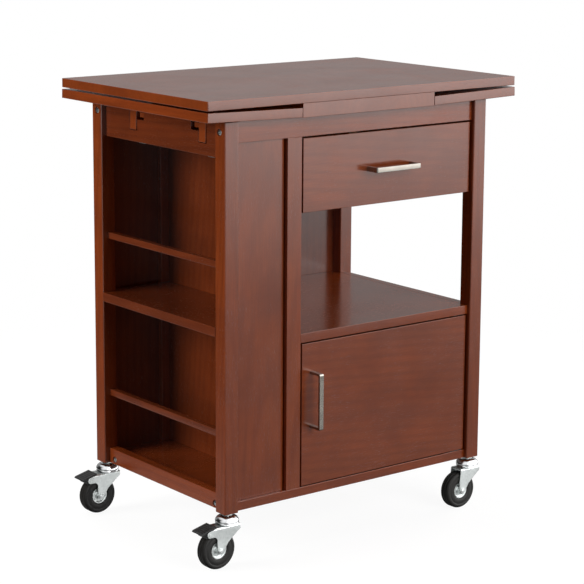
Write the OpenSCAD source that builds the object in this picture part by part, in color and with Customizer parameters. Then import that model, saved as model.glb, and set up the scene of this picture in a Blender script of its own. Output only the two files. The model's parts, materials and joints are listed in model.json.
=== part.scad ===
// Kitchen island cart with a draw-leaf top, a drawer, a cupboard, a wine bay and four casters.
// Origin: on the floor, below the middle of the top. +X is the drawer side, -Y is the front.

/* [Top] */
// Width of the closed top along X
top_w = 765; // [640:1:920]
// Depth of the top along Y
top_d = 500; // [420:1:620]
// Height of the worktop above the floor
total_h = 900; // [780:1:1080]
// Thickness of the top board
top_t = 18; // [15:1:24]
// How far the top reaches past the legs along X
overhang_x = 55.5; // [40:0.5:70]
// How far the top reaches past the legs along Y
overhang_y = 24; // [18:1:40]
// Radius of the top's corners seen from above
top_corner_r = 3; // [1:0.5:6]

/* [Draw leaves] */
// Thickness of each leaf
leaf_t = 18; // [14:1:20]
// Width of the fixed board between the leaves
centre_w = 328; // [260:1:380]
// Thickness of the fixed board between the leaves
centre_t = 27; // [25:1:30]
// Angle by which each leaf rises towards its outer edge
leaf_tilt = 1.32; // [1:0.02:1.6]
// Clearance between the end of the centre board and a closed leaf
leaf_gap = 1; // [0.6:0.1:2]
// Clearance between the frame and the inner end of a leaf
leaf_lift = 0.5; // [0.3:0.1:1]
// Width of each bearer
bearer_w = 22; // [16:1:22]
// Depth of each bearer under its leaf
bearer_h = 50; // [36:1:52]
// Depth of each bearer at its inner end
bearer_tip_h = 11; // [8:1:16]
// Length of bearer that keeps its full depth
bearer_full = 330; // [280:1:360]
// Clearance between a bearer and the sides of its notch
bearer_gap = 2; // [0.5:0.1:2]
// Y of the left leaf's rear bearer
left_rear_y = 95; // [95:1:110]
// Y of the left leaf's front bearer
left_front_y = -138; // [-145:1:-138]
// Distance between neighbouring bearers of the two leaves
bearer_pitch = 24; // [24:1:30]

/* [Frame] */
// Side of each square leg
leg_side = 32; // [28:1:40]
// Radius of the legs' long edges
leg_edge_r = 3; // [1:0.5:5]
// Thickness of the boards of the frame
board_t = 18; // [15:1:20]
// Thickness of the end boards and rails
end_t = 20; // [16:1:22]
// How far the front apron, stile and fronts sit behind the legs
front_setback = 9; // [6:1:12]
// Height of the front and rear aprons
apron_h = 41; // [36:1:50]
// Height of the left end apron
left_apron_h = 70; // [66:1:90]
// Width of the stile and of the rear post
stile_w = 34; // [28:1:44]
// Thickness of the divider
divider_t = 15; // [12:1:18]
// Thickness of the wide panel in front of the wine bay
panel_t = 12; // [9:1:14]
// Thickness of the rear panel
back_t = 5; // [4:0.5:8]
// Height of the left end rail
end_rail_h = 31.5; // [28:0.5:60]

/* [Bays] */
// Clear width of the wine bay
wine_bay_w = 140; // [120:1:160]
// Height of the underside of the stemware shelf
stem_shelf_z = 448; // [420:1:480]
// Height of the underside of the open shelf
open_shelf_z = 413.5; // [360:0.5:440]
// Height of the underside of the upper guard rail
upper_guard_z = 576; // [520:1:600]
// Height of the underside of the lower guard rail
lower_guard_z = 249; // [200:1:300]
// Height of a guard rail
guard_h = 13; // [10:1:20]
// Thickness of a guard rail
guard_t = 14; // [10:1:18]

/* [Drawer and door] */
// Gap round the drawer front and the door
front_gap = 3.5; // [2.5:0.5:5]
// Height of the drawer front
drawer_front_h = 143; // [110:1:150]
// Height of the drawer box
drawer_box_h = 92; // [60:1:96]
// Depth of the drawer box behind its front
drawer_box_d = 345; // [240:1:360]
// Thickness of the drawer box sides
drawer_side_t = 12; // [9:1:15]
// Thickness of the drawer bottom
drawer_bottom_t = 5; // [3:0.5:8]
// Clearance beside the drawer box
drawer_side_gap = 6; // [2:0.5:10]
// Clearance between the drawer box and its runners
runner_gap = 0.5; // [0.3:0.1:1]
// Width of a drawer runner
runner_w = 26; // [20:1:32]
// Height of a drawer runner
runner_h = 11; // [8:1:14]
// Diameter of the door's pivot pins
pivot_d = 6; // [5:0.5:8]
// Distance from the door's hinged edge to the pivot
pivot_inset = 13.5; // [12:0.5:20]
// Radial clearance of every pin that turns or slides in a bore
running_gap = 0.05; // [0.03:0.01:0.09]

/* [Pulls] */
// Length of each pull
pull_l = 113; // [90:1:140]
// Width of the pulls' flat bar
pull_w = 10; // [8:1:14]
// Thickness of the pulls' flat bar
pull_t = 5; // [4:0.5:6]
// How far the pulls stand out
pull_out = 32; // [26:1:32]
// X of the door pull from the door's free edge
door_pull_inset = 24; // [18:1:40]
// Height of the middle of the door pull
door_pull_z = 298; // [240:1:320]

/* [Casters] */
// Diameter of the wheels
wheel_d = 76; // [70:1:80]
// Width of the tyres
tyre_w = 24; // [20:1:26]
// Radius of the wheels' metal hubs
hub_r = 17; // [14:0.5:20]
// Height from the floor to the legs
caster_h = 106; // [104:1:114]
// Horizontal distance from a swivel axis to its wheel's axle
trail = 26; // [22:1:30]
// Diameter of the swivel stems
stem_d = 10; // [8:0.5:12]
// Length of each stem inside its leg
stem_in_leg = 40; // [30:1:50]
// Diameter of the axles
axle_d = 8; // [6:0.5:10]
// Thickness of the forks' sheet
fork_t = 2.4; // [2:0.1:3]
// Clearance between a tyre and its fork
fork_gap = 1.3; // [0.8:0.1:2]
// Diameter of the bearing cups
cup_d = 46; // [40:1:50]

/* [Hidden] */
$fn = 64;

// Heights
top_z = total_h - top_t;
frame_z = top_z - centre_t;
board_z = caster_h;
floor_z = board_z + board_t;
apron_z = frame_z - apron_h;

// Frame outline
joint_gap = 0.2;
panel_setback = 9;
post_t = 12;
divider_drop = 24;
frame_x = top_w / 2 - overhang_x;
frame_y = top_d / 2 - overhang_y;
in_x = frame_x - leg_side;
in_y = frame_y - leg_side;
leg_x = frame_x - leg_side / 2;
leg_y = frame_y - leg_side / 2;
end_x = in_x + end_t;
front_y = -(frame_y - front_setback);
back_y = frame_y - 1 - back_t;
post_front_y = back_y - post_t;

// The wine bay lies between the left end and the divider
divider_x = -in_x + wine_bay_w;
bay_x = divider_x + divider_t;
stile_x = bay_x - stile_w;
guard_setback = 14;
panel_y = front_y + panel_setback;
panel_gap = 2;
divider_z = apron_z - divider_drop;

// Draw leaves: each leaf lies in a plane that rises towards its outer edge
leaf_in_x = centre_w / 2 + leaf_gap;
leaf_w = top_w / 2 - leaf_in_x;
slope = tan(leaf_tilt);
bearer_end_x = end_x;
bearer_short = 6;
bearer_l = bearer_end_x + end_x - bearer_short;
bearer_step = 1;
notch_below = 1.5;
tip_notch_below = 4;
right_rear_y = left_rear_y - bearer_pitch;
right_front_y = left_front_y + bearer_pitch;
left_ys = [left_front_y, left_rear_y];
right_ys = [right_front_y, right_rear_y];
notch_w = bearer_w + 2 * bearer_gap;
notch_z = leaf_plane(bearer_end_x) - bearer_h - notch_below;
tip_notch_z = leaf_plane(-end_x) - bearer_tip_h - tip_notch_below;
guide_below = 8;
block_l = 20;
block_h = 28;
block_below = 1;
peg_d = 12;
peg_l = 46;
peg_x = centre_w / 2 - 50;
peg_y = in_y - 20;

// Drawer
drawer_z = apron_z - front_gap - drawer_front_h;
drawer_x0 = bay_x + front_gap;
drawer_x1 = in_x - front_gap;
box_x0 = bay_x + drawer_side_gap;
box_x1 = in_x - drawer_side_gap;
box_y = front_y + board_t;
runner_z = drawer_z + 2;
runner_y = box_y + 2;
box_z = runner_z + runner_h + runner_gap;
groove_depth = 6;
groove_z = 8;
groove_gap = 0.1;

// Door
door_z = floor_z + 2;
door_top = open_shelf_z - 3;
door_x0 = bay_x + front_gap;
door_x1 = in_x - front_gap;
pivot_x = door_x1 - pivot_inset;
pivot_y = front_y + board_t / 2;
pivot_deep = 12;
pivot_in_shelf = 7;
plate_t = 1.2;
plate_w = 14;
catch_w = 14;
catch_d = 16;
catch_l = 40;
catch_z = door_top - 60;
catch_gap = 0.5;
strike_t = 1.2;
strike_w = 11;

// Bolts of the frame
bolt_d = 5;
bolt_head_d = 11;
bolt_recess_d = bolt_head_d + 2.4;
bolt_head_t = 2.6;
bolt_recess = 3;
bolt_in_end = 24;
leg_bolt_z = frame_z - apron_h / 2 + 1;
rail_bolt_y = in_y - 18;
rail_bolt_z = board_z + board_t / 2;

// Casters
wheel_r = wheel_d / 2;
fork_in = tyre_w / 2 + fork_gap;
fork_out = fork_in + fork_t;
nut_h = 5;
cup_top = caster_h - nut_h;
cup_z = cup_top - 16;
fork_top = cup_z - 0.5;
axle_end = fork_out + 3.5;
pedal_pin_d = 5;
pedal_x = -(trail + 24);
pedal_z = wheel_r + 36;
ear_r = 6.5;
casters = [
    [-leg_x, -leg_y],
    [leg_x, -leg_y],
    [-leg_x, leg_y],
    [leg_x, leg_y]
];

// Colours
walnut_dark = [0.36, 0.16, 0.10];
walnut = [0.45, 0.21, 0.13];
pale_wood = [0.55, 0.30, 0.18];
zinc = [0.75, 0.76, 0.77];
chromed = [0.85, 0.86, 0.88];
black_rubber = [0.09, 0.09, 0.09];

// Height of the underside of a leaf at distance x from the middle, towards its own end
function leaf_plane(x) = frame_z + leaf_lift + (x - leaf_in_x) * slope;

// Points of an arc about (cx, cy), from angle a0 to a1
function arc(cx, cy, r, a0, a1, steps = 10) =
    [for (i = [0 : steps]) let (a = a0 + (a1 - a0) * i / steps) [cx + r * cos(a), cy + r * sin(a)]];

// A box given by its two opposite corners
module span(a, b) {
    translate(a)
        cube(b - a);
}

// A rectangle with round corners, centred
module round_rect(w, d, r) {
    square([w - 2 * r, d], center = true);
    square([w, d - 2 * r], center = true);
    for (x = [-1, 1], y = [-1, 1])
        translate([x * (w / 2 - r), y * (d / 2 - r)])
            circle(r = r);
}

// A cylinder along X from x0 to x1
module rod_x(x0, x1, d) {
    translate([x0, 0, 0])
        rotate([0, 90, 0])
            cylinder(d = d, h = x1 - x0);
}

// A cylinder along Y, centred
module rod_y(l, d) {
    rotate([90, 0, 0])
        cylinder(d = d, h = l, center = true);
}

// Bolt hole along X with its head's recess in the face at x = face, side = -1 or 1
module bolt_hole(side, face, depth) {
    mirror([side > 0 ? 1 : 0, 0, 0]) {
        rod_x(-face, -face + depth, bolt_d + 0.2);
        rod_x(-face - 1, -face + bolt_recess, bolt_recess_d);
    }
}

// Bolt with a low round head; its shank reaches depth past the face
module bolt(side, face, depth) {
    mirror([side > 0 ? 1 : 0, 0, 0]) {
        rod_x(-face + bolt_recess, -face + depth - 0.5, bolt_d);
        rod_x(-face + bolt_recess - bolt_head_t, -face + bolt_recess, bolt_head_d);
    }
}

// Legs
module leg(sx, sy) {
    color(walnut_dark)
        difference() {
            translate([sx * leg_x, sy * leg_y, caster_h])
                linear_extrude(frame_z - caster_h)
                    round_rect(leg_side, leg_side, leg_edge_r);
            translate([sx * leg_x, sy * leg_y, caster_h - 1])
                cylinder(d = stem_d + 2 * running_gap, h = stem_in_leg + 2);
            translate([0, sy * abs(front_y + board_t / 2), leg_bolt_z])
                bolt_hole(sx, frame_x, leg_side + 1);
        }
}

// Front and rear aprons
module long_apron(sy) {
    apron_y = front_y + board_t / 2;
    color(walnut)
        difference() {
            translate([-in_x, sy * abs(apron_y) - board_t / 2, apron_z])
                cube([2 * in_x, board_t, apron_h]);
            for (sx = [-1, 1])
                translate([0, sy * abs(apron_y), leg_bolt_z])
                    bolt_hole(sx, frame_x, leg_side + bolt_in_end + 1);
        }
}

// End apron; own bearers pass through deep notches and the far leaf's tips through shallow ones
module end_apron(sx, own_ys, far_ys, low_z) {
    color(walnut)
        mirror([sx > 0 ? 1 : 0, 0, 0])
            difference() {
                span([-end_x, -in_y, low_z], [-in_x, in_y, frame_z]);
                for (y = own_ys)
                    span([-end_x - 1, y - notch_w / 2, notch_z], [-in_x + 1, y + notch_w / 2, frame_z + 1]);
                for (y = far_ys)
                    span([-end_x - 1, y - notch_w / 2, tip_notch_z], [-in_x + 1, y + notch_w / 2, frame_z + 1]);
            }
}

module left_apron() {
    end_apron(-1, left_ys, right_ys, frame_z - left_apron_h);
}

// The right apron is deep, because it also closes the drawer's bay
module right_apron() {
    end_apron(1, right_ys, left_ys, drawer_z);
}

module bottom_board() {
    color(pale_wood)
        difference() {
            span([-in_x, front_y, board_z], [in_x, back_y - joint_gap, floor_z]);
            for (sx = [-1, 1], sy = [-1, 1])
                translate([0, sy * rail_bolt_y, rail_bolt_z])
                    bolt_hole(sx, end_x, end_t + bolt_in_end + 1);
        }
}

module left_end_rail() {
    color(walnut)
        difference() {
            span([-end_x, -in_y, board_z], [-in_x, in_y, board_z + end_rail_h]);
            for (sy = [-1, 1])
                translate([0, sy * rail_bolt_y, rail_bolt_z])
                    bolt_hole(-1, end_x, end_t + 1);
        }
}

// Closes the cupboard's right end, up to the open shelf
module right_side_panel() {
    color(walnut)
        difference() {
            span([in_x, -in_y, board_z], [end_x, in_y, open_shelf_z + board_t]);
            for (sy = [-1, 1])
                translate([0, sy * rail_bolt_y, rail_bolt_z])
                    bolt_hole(1, end_x, end_t + 1);
        }
}

// Shelf of the wine bay; its end is flush with the legs
module stemware_shelf() {
    color(walnut_dark) {
        span([-in_x, panel_y + panel_t, stem_shelf_z], [divider_x, post_front_y, stem_shelf_z + board_t]);
        span([-frame_x, -in_y, stem_shelf_z], [-in_x, in_y, stem_shelf_z + board_t]);
    }
}

module guard_rail(z) {
    guard_x = -frame_x + guard_setback;
    color(walnut)
        span([guard_x, -in_y, z], [guard_x + guard_t, in_y, z + guard_h]);
}

module upper_guard_rail() {
    guard_rail(upper_guard_z);
}

module lower_guard_rail() {
    guard_rail(lower_guard_z);
}

module front_panel() {
    color(walnut_dark)
        span([-in_x, panel_y, floor_z], [stile_x - panel_gap, panel_y + panel_t, apron_z]);
}

module rear_panel() {
    color(walnut_dark)
        span([-in_x, back_y, board_z], [in_x, back_y + back_t, frame_z - 1]);
}

module front_stile() {
    color(walnut)
        span([stile_x, front_y, floor_z], [bay_x, front_y + board_t, apron_z]);
}

module rear_post() {
    color(walnut)
        span([stile_x, post_front_y, floor_z], [bay_x, back_y, apron_z - joint_gap]);
}

module divider() {
    color(walnut_dark)
        span([divider_x, front_y + board_t, floor_z], [bay_x, post_front_y, divider_z]);
}

module open_shelf() {
    color(pale_wood)
        difference() {
            span([bay_x, front_y, open_shelf_z], [in_x, back_y - joint_gap, open_shelf_z + board_t]);
            translate([pivot_x, pivot_y, open_shelf_z - 1])
                cylinder(d = pivot_d + 2 * running_gap, h = pivot_in_shelf + 2);
        }
}

// Wooden strips on the divider and on the right apron that carry the drawer
module drawer_runners() {
    color(pale_wood) {
        span([bay_x, runner_y, runner_z], [bay_x + runner_w, post_front_y, runner_z + runner_h]);
        span([in_x - runner_w, runner_y, runner_z], [in_x, in_y, runner_z + runner_h]);
    }
}

// Cross board under the centre board, with a notch round each bearer
module bearer_guide() {
    guide_notch_z = frame_z - bearer_h - guide_below;
    color(pale_wood)
        difference() {
            span([-board_t / 2, front_y + board_t, divider_z], [board_t / 2, -front_y - board_t, frame_z]);
            for (y = concat(left_ys, right_ys))
                span([-board_t, y - notch_w / 2, guide_notch_z], [board_t, y + notch_w / 2, frame_z + 1]);
        }
}

// Blocks inside the end aprons, just under the bearers
module glide_blocks() {
    block_top = leaf_plane(in_x - block_l) - bearer_h - block_below;
    block_z = block_top - block_h;
    color(pale_wood) {
        for (y = left_ys)
            span([-in_x, y - bearer_w / 2, block_z], [-in_x + block_l, y + bearer_w / 2, block_top]);
        for (y = right_ys)
            span([in_x - block_l, y - bearer_w / 2, block_z], [in_x, y + bearer_w / 2, block_top]);
    }
}

// Fixed board between the leaves, with the peg holes that locate the top
module centre_board() {
    color(walnut_dark)
        difference() {
            span([-centre_w / 2, -top_d / 2, frame_z], [centre_w / 2, top_d / 2, top_z]);
            for (sx = [-1, 1], sy = [-1, 1])
                translate([sx * peg_x, sy * peg_y, frame_z - 1])
                    cylinder(d = peg_d + 2 * running_gap, h = centre_t + 2);
        }
}

module frame_bolts() {
    color(zinc)
        for (sx = [-1, 1], sy = [-1, 1]) {
            translate([0, sy * abs(front_y + board_t / 2), leg_bolt_z])
                bolt(sx, frame_x, leg_side + bolt_in_end);
            translate([0, sy * rail_bolt_y, rail_bolt_z])
                bolt(sx, end_x, end_t + bolt_in_end);
        }
}

// Top
module top_board() {
    color(walnut_dark)
        translate([0, 0, top_z])
            linear_extrude(top_t)
                round_rect(top_w, top_d, top_corner_r);
}

module top_pegs() {
    color(pale_wood)
        for (sx = [-1, 1], sy = [-1, 1])
            translate([sx * peg_x, sy * peg_y, top_z - peg_l])
                cylinder(d = peg_d, h = peg_l);
}

// Leaf on the left; the right one is its mirror image
module leaf() {
    translate([-leaf_in_x, 0, frame_z + leaf_lift])
        rotate([0, leaf_tilt, 0])
            span([-leaf_w / cos(leaf_tilt), -top_d / 2, 0], [0, top_d / 2, leaf_t]);
}

// Bearers on the left; the part past the leaf lies a little lower, clear of the centre board
module bearers(ys) {
    out = (bearer_end_x - leaf_in_x) / cos(leaf_tilt);
    for (y = ys)
        translate([-leaf_in_x, y + bearer_w / 2, frame_z + leaf_lift])
            rotate([90, leaf_tilt, 0])
                linear_extrude(bearer_w)
                    polygon([
                        [-out, 0],
                        [-out, -bearer_h],
                        [-out + bearer_full, -bearer_h],
                        [-out + bearer_l, -bearer_tip_h],
                        [-out + bearer_l, -bearer_step],
                        [0.5, -bearer_step],
                        [-0.5, 0]
                    ]);
}

module left_leaf() {
    color(walnut_dark)
        leaf();
}

module left_bearers() {
    color(walnut)
        bearers(left_ys);
}

module right_leaf() {
    color(walnut_dark)
        mirror([1, 0, 0])
            leaf();
}

module right_bearers() {
    color(walnut)
        mirror([1, 0, 0])
            bearers(right_ys);
}

// Drawer
module drawer_front() {
    color(walnut)
        span([drawer_x0, front_y, drawer_z], [drawer_x1, front_y + board_t, drawer_z + drawer_front_h]);
}

module drawer_box() {
    color(pale_wood)
        difference() {
            span([box_x0, box_y, box_z], [box_x1, box_y + drawer_box_d, box_z + drawer_box_h]);
            span(
                [box_x0 + drawer_side_t, box_y - 1, box_z - 1],
                [box_x1 - drawer_side_t, box_y + drawer_box_d - drawer_side_t, box_z + drawer_box_h + 1]
            );
            drawer_bottom_space(0);
        }
}

// The bottom's slab; gap makes it smaller all round than the grooves that hold it
module drawer_bottom_space(gap) {
    span(
        [box_x0 + drawer_side_t - groove_depth + gap, box_y + gap, box_z + groove_z + gap / 2],
        [
            box_x1 - drawer_side_t + groove_depth - gap,
            box_y + drawer_box_d - drawer_side_t + groove_depth - gap,
            box_z + groove_z + drawer_bottom_t - gap / 2
        ]
    );
}

module drawer_bottom() {
    color(pale_wood)
        drawer_bottom_space(groove_gap);
}

// Flat-bar pull along X, standing out towards -Y from the plane y = 0
module pull() {
    span([-pull_l / 2, -pull_out, -pull_w / 2], [pull_l / 2, -pull_out + pull_t, pull_w / 2]);
    for (sx = [-1, 1])
        translate([sx * (pull_l - pull_t) / 2, 0, 0])
            span([-pull_t / 2, -pull_out, -pull_w / 2], [pull_t / 2, 0, pull_w / 2]);
}

module drawer_pull() {
    color(zinc)
        translate([(drawer_x0 + drawer_x1) / 2, front_y, drawer_z + drawer_front_h / 2])
            pull();
}

// Door; bores in its top and bottom edges take the pivots
module door() {
    color(walnut)
        difference() {
            span([door_x0, front_y, door_z], [door_x1, front_y + board_t, door_top]);
            for (z = [door_z - 1, door_top - pivot_deep - 1])
                translate([pivot_x, pivot_y, z])
                    cylinder(d = pivot_d + 2 * running_gap, h = pivot_deep + 2);
        }
}

module door_pull() {
    color(zinc)
        translate([door_x0 + door_pull_inset, front_y, door_pull_z])
            rotate([0, 90, 0])
                pull();
}

module pivot_plate(z) {
    span([pivot_x - 20, pivot_y - plate_w / 2, z], [pivot_x + 10, pivot_y + plate_w / 2, z + plate_t]);
}

// Pivot plates let the door swing; one is under the shelf and one on the bottom board
module door_pivots() {
    color(zinc) {
        translate([pivot_x, pivot_y, door_top - pivot_deep])
            cylinder(d = pivot_d, h = open_shelf_z + pivot_in_shelf - door_top + pivot_deep);
        pivot_plate(open_shelf_z - plate_t);
        translate([pivot_x, pivot_y, floor_z])
            cylinder(d = pivot_d, h = door_z - floor_z + pivot_deep);
        pivot_plate(floor_z);
    }
}

// Magnetic catch on the divider and its strike on the door
module door_catch() {
    catch_y = front_y + board_t + strike_t + catch_gap;
    color(black_rubber)
        span([bay_x, catch_y, catch_z], [bay_x + catch_w, catch_y + catch_d, catch_z + catch_l]);
}

module catch_strike() {
    color(zinc)
        span(
            [door_x0 + 1, front_y + board_t, catch_z + 5],
            [door_x0 + 1 + strike_w, front_y + board_t + strike_t, catch_z + catch_l - 5]
        );
}

// Stem with a nut below the leg and a rivet head below the fork
module caster_stem() {
    head_z = fork_top - fork_t - 0.4;
    translate([0, 0, head_z - 2])
        cylinder(d = stem_d, h = caster_h + stem_in_leg - head_z + 2);
    translate([0, 0, head_z - 2.4])
        cylinder(d = stem_d + 6, h = 2.4);
    translate([0, 0, cup_top])
        cylinder(d = 2.2 * stem_d, h = nut_h, $fn = 6);
}

module caster_stems() {
    color(zinc)
        for (c = casters)
            translate([c[0], c[1], 0])
                caster_stem();
}

// Domed ring that covers the swivel bearing
module caster_cup() {
    cup_r = cup_d / 2;
    dome_r = cup_top - cup_z - 5;
    rotate_extrude()
        polygon(concat(
            [[stem_d / 2, cup_z], [cup_r - 2, cup_z], [cup_r, cup_z + 2], [cup_r, cup_z + 5]],
            arc(cup_r - dome_r, cup_z + 5, dome_r, 0, 90),
            [[13, cup_top], [12, cup_top - 1.5], [stem_d / 2, cup_top - 1.5]]
        ));
}

module caster_cups() {
    color(chromed)
        for (c = casters)
            translate([c[0], c[1], 0])
                caster_cup();
}

// Side outline of a fork; the braked one has an ear that carries the pedal
module fork_outline(braked) {
    foot = arc(-trail, wheel_r, 8, 215, 350);
    back = [[cup_d / 2 - 3, fork_top - 14], [cup_d / 2 - 2, fork_top]];
    front = braked
        ? concat(
            arc(pedal_x, pedal_z, ear_r, 105, 280),
            arc(-trail - 16, wheel_r + 22, 8, 75, 0, 6))
        : [[-trail - 5, fork_top]];
    polygon(concat(foot, back, [[-trail - 4, fork_top]], front));
}

module fork(braked) {
    color(zinc)
        difference() {
            union() {
                for (y = [-fork_out, fork_in])
                    translate([0, y + fork_t, 0])
                        rotate([90, 0, 0])
                            linear_extrude(fork_t)
                                fork_outline(braked);
                span([-trail - 4, -fork_out, fork_top - fork_t], [cup_d / 2 - 2, fork_out, fork_top]);
            }
            translate([0, 0, fork_top - 10])
                cylinder(d = stem_d + 2 * running_gap, h = 12);
            translate([-trail, 0, wheel_r])
                rod_y(4 * fork_out, axle_d + 2 * running_gap);
            if (braked)
                translate([pedal_x, 0, pedal_z])
                    rod_y(4 * fork_out, pedal_pin_d + 2 * running_gap);
        }
}

// Axle bolt with its head and nut, and the pedal's pin on a braked caster
module axle(braked) {
    color(zinc) {
        translate([-trail, 0, wheel_r]) {
            rod_y(2 * axle_end, axle_d);
            for (sy = [-1, 1])
                translate([0, sy * (fork_out + 1.4), 0])
                    rod_y(2.4, axle_d + 5);
        }
        if (braked)
            translate([pedal_x, 0, pedal_z])
                rod_y(2 * fork_out + 1.6, pedal_pin_d);
    }
}

// Metal hub with a raised boss round the axle
module hub() {
    color(zinc)
        translate([-trail, 0, wheel_r])
            rotate([90, 0, 0])
                difference() {
                    union() {
                        cylinder(r = hub_r, h = tyre_w - 4, center = true);
                        cylinder(r = axle_d / 2 + 4, h = 2 * fork_in - 0.6, center = true);
                    }
                    cylinder(d = axle_d + 2 * running_gap, h = 4 * tyre_w, center = true);
                }
}

// Rubber tyre with round shoulders and two shallow grooves in its tread
module tyre() {
    half = tyre_w / 2;
    shoulder = 6;
    groove_y = 3.5;
    groove_w = 0.8;
    groove_in = 1.2;
    color(black_rubber)
        translate([-trail, 0, wheel_r])
            rotate([90, 0, 0])
                rotate_extrude($fn = 96)
                    polygon(concat(
                        [[hub_r, -half + 2], [hub_r + 3, -half]],
                        arc(wheel_r - shoulder, -half + shoulder, shoulder, -90, 0),
                        [
                            [wheel_r, -groove_y - groove_w], [wheel_r - groove_in, -groove_y],
                            [wheel_r, -groove_y + groove_w], [wheel_r, groove_y - groove_w],
                            [wheel_r - groove_in, groove_y], [wheel_r, groove_y + groove_w]
                        ],
                        arc(wheel_r - shoulder, half - shoulder, shoulder, 0, 90),
                        [[hub_r + 3, half], [hub_r, half - 2]]
                    ));
}

// Brake pedal: a broad tread plate over a narrower arm that turns on the ears' pin
module pedal() {
    arm_w = 2 * fork_in - 1;
    plate_w = 2 * fork_out + 2.4;
    color(black_rubber)
        difference() {
            union() {
                translate([0, plate_w / 2, 0])
                    rotate([90, 0, 0])
                        linear_extrude(plate_w)
                            polygon([
                                [pedal_x + 14, pedal_z + 14], [pedal_x - 18, pedal_z + 6],
                                [pedal_x - 20.5, pedal_z + 2.5], [pedal_x - 18.5, pedal_z + 1.5],
                                [pedal_x - 8, pedal_z + 5.5], [pedal_x + 14, pedal_z + 10.8]
                            ]);
                translate([0, arm_w / 2, 0])
                    rotate([90, 0, 0])
                        linear_extrude(arm_w)
                            polygon(concat(
                                [[pedal_x + 8, pedal_z + 10], [pedal_x - 9, pedal_z + 6]],
                                [[pedal_x - 9, pedal_z - 5], [pedal_x - 5.5, pedal_z - 7.5]],
                                arc(pedal_x, pedal_z, 4.2, 270, 360)
                            ));
            }
            translate([pedal_x, 0, pedal_z])
                rod_y(4 * fork_out, pedal_pin_d + 2 * running_gap);
        }
}

// Places a caster's part at corner i
module at_caster(i) {
    translate([casters[i][0], casters[i][1], 0])
        children();
}

leg(-1, -1);  // leg_fl
leg(1, -1);  // leg_fr
leg(-1, 1);  // leg_rl
leg(1, 1);  // leg_rr
long_apron(-1);  // front_apron
long_apron(1);  // rear_apron
left_apron();
right_apron();
bottom_board();
left_end_rail();
stemware_shelf();
upper_guard_rail();
lower_guard_rail();
front_panel();
rear_panel();
right_side_panel();
divider();
front_stile();
rear_post();
open_shelf();
drawer_runners();
bearer_guide();
glide_blocks();
centre_board();
frame_bolts();
door_pivots();
door_catch();
caster_stems();
caster_cups();
top_board();
top_pegs();
left_leaf();
left_bearers();
right_leaf();
right_bearers();
drawer_front();
drawer_box();
drawer_bottom();
drawer_pull();
door();
door_pull();
catch_strike();
at_caster(0) fork(true);  // fork_fl
at_caster(0) axle(true);  // axle_fl
at_caster(0) hub();  // hub_fl
at_caster(0) tyre();  // tyre_fl
at_caster(1) fork(false);  // fork_fr
at_caster(1) axle(false);  // axle_fr
at_caster(1) hub();  // hub_fr
at_caster(1) tyre();  // tyre_fr
at_caster(2) fork(true);  // fork_rl
at_caster(2) axle(true);  // axle_rl
at_caster(2) hub();  // hub_rl
at_caster(2) tyre();  // tyre_rl
at_caster(3) fork(false);  // fork_rr
at_caster(3) axle(false);  // axle_rr
at_caster(3) hub();  // hub_rr
at_caster(3) tyre();  // tyre_rr
at_caster(0) pedal();  // pedal_fl
at_caster(2) pedal();  // pedal_rl
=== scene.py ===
import json
import math

import bmesh
import bpy
from mathutils import Matrix, Vector

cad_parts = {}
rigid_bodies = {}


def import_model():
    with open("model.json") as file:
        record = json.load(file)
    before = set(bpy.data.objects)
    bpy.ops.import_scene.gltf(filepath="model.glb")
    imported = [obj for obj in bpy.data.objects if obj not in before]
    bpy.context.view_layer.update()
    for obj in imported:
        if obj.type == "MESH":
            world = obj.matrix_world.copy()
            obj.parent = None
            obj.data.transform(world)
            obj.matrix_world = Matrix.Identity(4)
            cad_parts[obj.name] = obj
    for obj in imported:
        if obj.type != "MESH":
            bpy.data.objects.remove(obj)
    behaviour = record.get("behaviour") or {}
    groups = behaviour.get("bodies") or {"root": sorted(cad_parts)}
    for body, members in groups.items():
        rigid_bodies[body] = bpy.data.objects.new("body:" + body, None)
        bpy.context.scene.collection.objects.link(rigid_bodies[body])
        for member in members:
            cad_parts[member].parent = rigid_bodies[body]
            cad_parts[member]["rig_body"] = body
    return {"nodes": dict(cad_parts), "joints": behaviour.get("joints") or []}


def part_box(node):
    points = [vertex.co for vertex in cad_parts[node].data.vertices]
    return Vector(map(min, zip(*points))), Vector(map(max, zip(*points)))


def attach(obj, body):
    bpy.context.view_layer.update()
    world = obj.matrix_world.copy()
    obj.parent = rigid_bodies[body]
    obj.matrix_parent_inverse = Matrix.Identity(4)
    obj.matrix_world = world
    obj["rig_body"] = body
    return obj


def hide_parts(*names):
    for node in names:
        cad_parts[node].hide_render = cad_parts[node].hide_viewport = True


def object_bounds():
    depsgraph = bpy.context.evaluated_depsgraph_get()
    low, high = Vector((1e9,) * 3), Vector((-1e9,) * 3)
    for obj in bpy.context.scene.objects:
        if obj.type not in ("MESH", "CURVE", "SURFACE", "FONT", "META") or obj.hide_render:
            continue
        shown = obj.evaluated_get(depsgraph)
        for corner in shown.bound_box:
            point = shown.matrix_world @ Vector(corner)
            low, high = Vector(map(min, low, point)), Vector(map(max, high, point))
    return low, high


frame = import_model()
cadLow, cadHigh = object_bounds()
mm = 0.001
jointAt = {j["name"]: Vector(j["pos_m"]) for j in frame["joints"] if "pos_m" in j}
corners = ["fl", "fr", "rl", "rr"]
brakedCorners = ["fl", "rl"]
print("frame loaded,", len(frame["nodes"]), "nodes")


# ---- small helpers for meshes

def pieceName(node):
    if "_" not in node:
        return node + "Board"
    first, *rest = node.split("_")
    return first + "".join(word.capitalize() for word in rest)


def linkMesh(name, mesh):
    piece = bpy.data.objects.new(name, mesh)
    bpy.context.scene.collection.objects.link(piece)
    return piece


def meshFrom(name, bm, smooth=True):
    mesh = bpy.data.meshes.new(name)
    bm.to_mesh(mesh)
    bm.free()
    for face in mesh.polygons:
        face.use_smooth = smooth
    return mesh


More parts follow.
